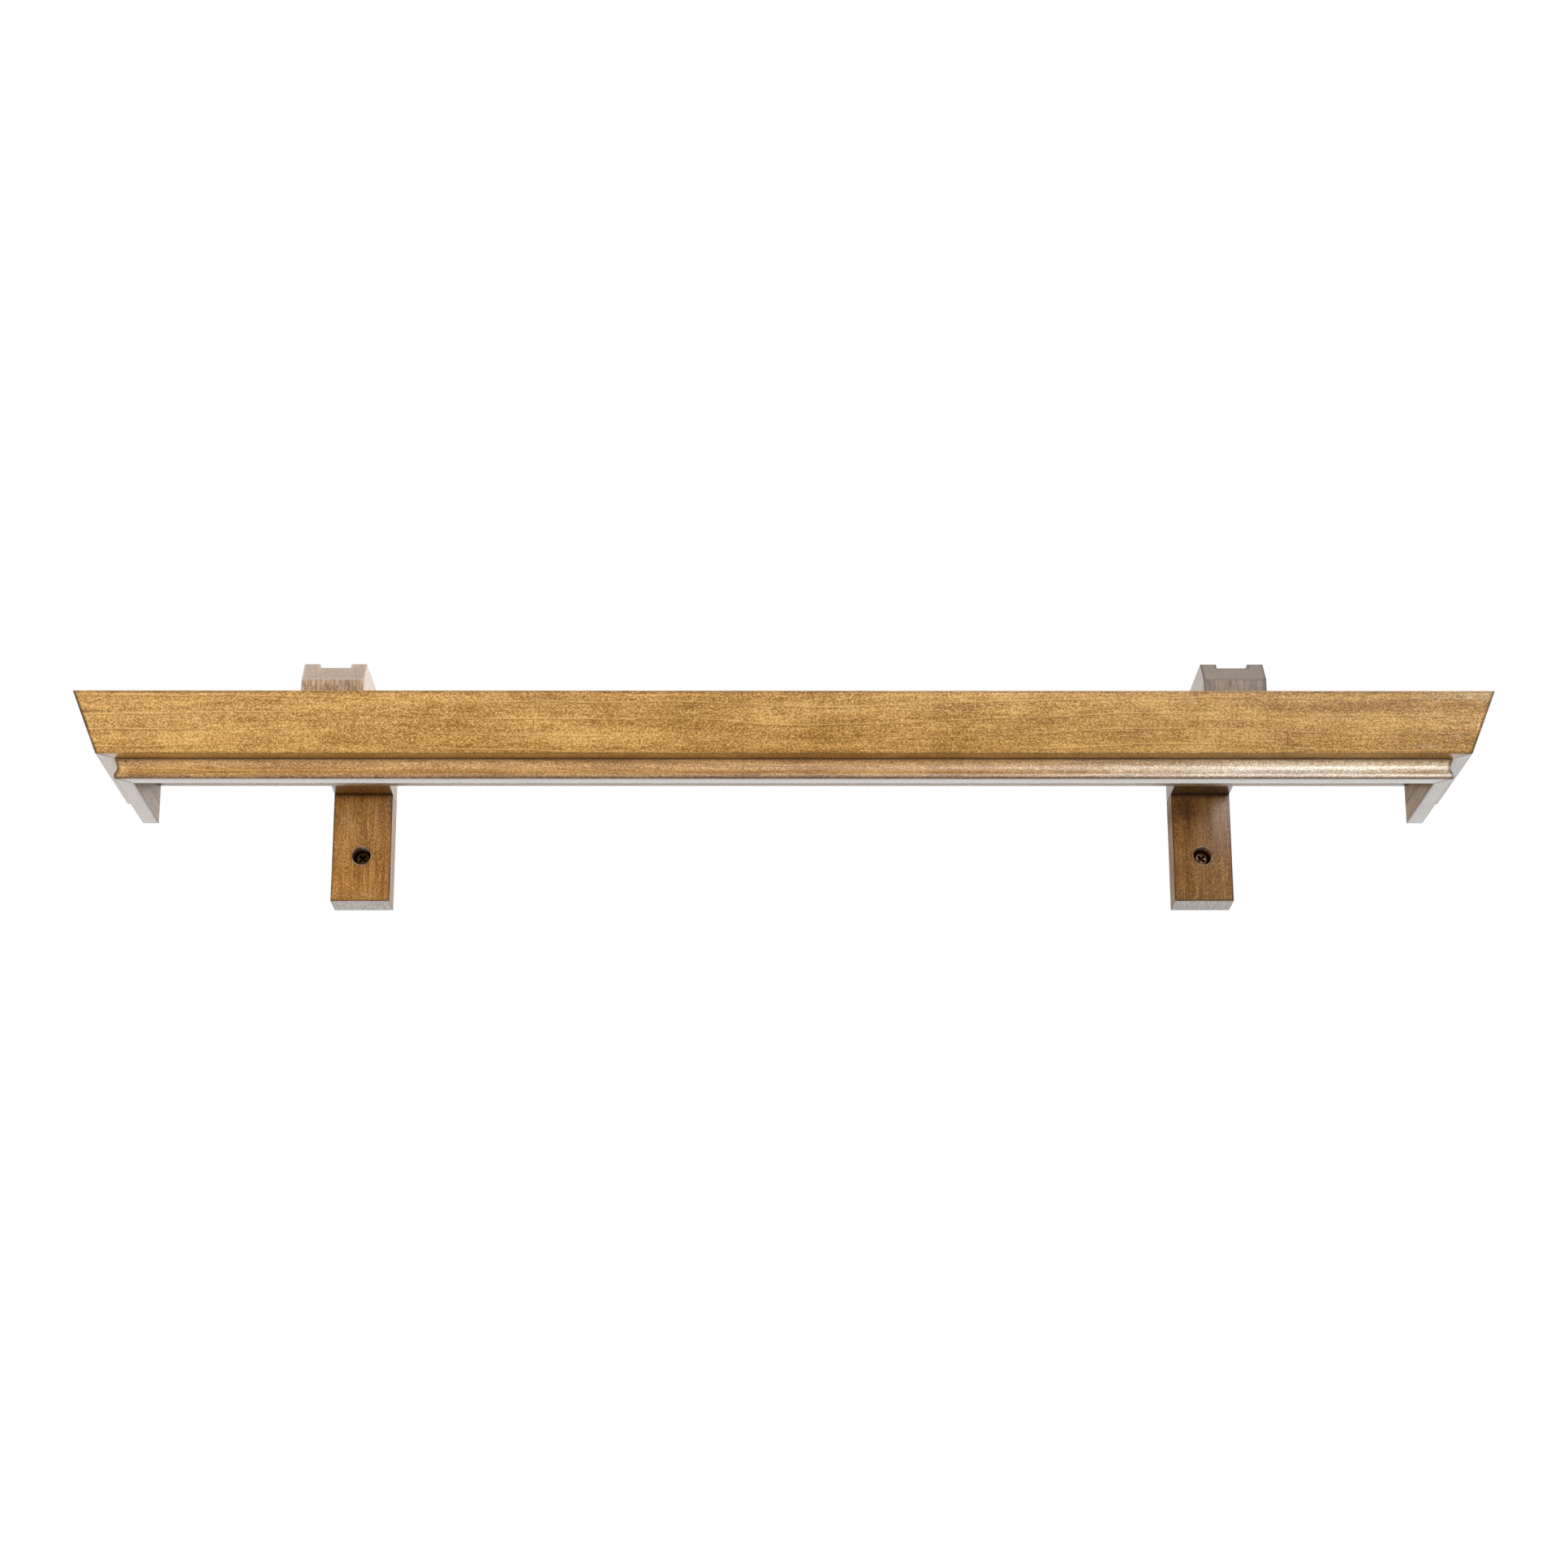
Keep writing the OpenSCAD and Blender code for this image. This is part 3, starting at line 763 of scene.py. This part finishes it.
# The right-hand returns of the crown and of the bead are shaded copies: painted shade
CROWN_WOOD = {
    "front": wood("crown_wood_front", "X", shift=(0.31, 0.2, 0.1101), torn_from=0.40,
                  marks=CROWN_MARKS, **GOLD),
    "left": wood("crown_wood_left", "Y", shift=(0.7, 0.5, 0.4), sheen_below=0.6, **GOLD),
    "right": wood("crown_wood_right", "Y", shift=(1.9, 0.1, 0.8), sheen_below=0.6, **shaded_copy(GOLD, 0.64))}
BEAD_WOOD = {
    "front": wood("bead_wood_front", "X", shift=(2.3, 0.9, 0.65), rough=0.44, coat=1.0, shine=0.6,
                  sheen_below=0.4, marks=BEAD_MARKS, **GOLD),
    "left": wood("bead_wood_left", "Y", shift=(3.1, 0.3, 0.2), sheen_below=0.6, **GOLD),
    "right": wood("bead_wood_right", "Y", shift=(3.9, 0.4, 0.6), sheen_below=0.6, **shaded_copy(GOLD, 0.64))}

frame_pieces("crown", crown_outline(), CROWN_LO.z, CROWN_WOOD.get)
frame_pieces("bead", bead_outline(), BEAD_LO.z, BEAD_WOOD.get)

BOARD_WOOD = wood("board_wood", "X", shift=(5.1, 0.7, 0.3), ring_axis=1, rough=0.42, pooled=0.0, **GOLD)
board = eased_box("shelf_board_wood", BOARD_LO, BOARD_HI, 0.4 * MM)
finish_piece(board, BOARD_WOOD, "shelf_board")

ARM_WOOD = {
    "left": wood("arm_wood_left", "Y", shift=(0, 0.6, 0.9), coat=0.15, dusty=0.5,
                 # Painted sheen: the left arm's arrises and bevel are pale grey instead of dark
                 arris_tone=(0.62, 0.54, 0.46), **CHESTNUT),
    # The right arm is a much darker copy of the left: painted shade
    "right": wood("arm_wood_right", "Y", shift=(1.7, 0.6, 0.9), coat=0.5, dusty=0.36, shine=0.2,
                  **shaded_copy(CHESTNUT, 0.38))}
# The right leg's stain is a shaded copy of the left's: painted shade
LEG_STAIN_AND_SHADE = {"left": CHESTNUT, "right": shaded_copy(CHESTNUT, 0.66)}
LEG_WOOD = {side: wood(f"leg_wood_{side}", "Z", shift=(4.4 + i, 0.2 * i, 0.5), ring_axis=1, rings=0.3,
                       marks=LEG_MARKS[side], bored_at=SIDES[side] * BRACKET_X, pooled=0.0, fleck=1.2,
                       **LEG_STAIN_AND_SHADE[side])
            for i, side in enumerate(SIDES)}
DOWEL_WOOD = wood("dowel_wood", "Z", shift=(8, 0, 0), rough=0.6, rings=0.0, **PALE)
ZINC = metal("zinc_steel", (0.60, 0.59, 0.57), (0.34, 0.33, 0.31), 0.34)
TARNISHED = {"left": metal("olive_zinc_steel", (0.30, 0.27, 0.11), (0.07, 0.07, 0.02), 0.30),
             "right": metal("red_zinc_steel", (0.44, 0.24, 0.15), (0.15, 0.07, 0.04), 0.30)}
WIRE = metal("brad_wire", (0.26, 0.23, 0.20), (0.12, 0.09, 0.07), 0.5)


def dress(node, material):
    """Gives a CAD node, which is already the right shape, its material."""
    obj = NODES[node]
    obj.data.materials.clear()
    obj.data.materials.append(material)


def ease_edges(node):
    """Takes the sharpness off a CAD node's edges."""
    obj = NODES[node]
    weld = obj.modifiers.new("weld", "WELD")
    weld.merge_threshold = 0.005 * MM
    bevel = obj.modifiers.new("ease", "BEVEL")
    bevel.width = 0.6 * MM
    bevel.segments = 3
    bevel.limit_method = "ANGLE"
    bevel.angle_limit = math.radians(40)
    bevel.harden_normals = True


for side in SIDES:
    dress(f"{side}_arm", ARM_WOOD[side])
    ease_edges(f"{side}_arm")
    dress(f"{side}_leg", LEG_WOOD[side])
    ease_edges(f"{side}_leg")
    dress(f"{side}_joint_dowels", DOWEL_WOOD)
    dress(f"{side}_joint_screw", ZINC)
    dress(f"{side}_shelf_screws", ZINC)
    screw = pan_head_screw(f"{side}_wall_screw_threaded", SIDES[side] * BRACKET_X,
                           SCREW_LO.y, SCREW_HI.y, (SCREW_HI.x - SCREW_LO.x) / 2)
    finish_piece(screw, TARNISHED[side], f"{side}_wall_screw", smooth_deg=30)
for node in ("crown_brads", "bead_brads", "mitre_pins"):
    dress(node, WIRE)

settings = bpy.context.scene.view_settings
settings.view_transform = "Standard"
settings.look = "None"
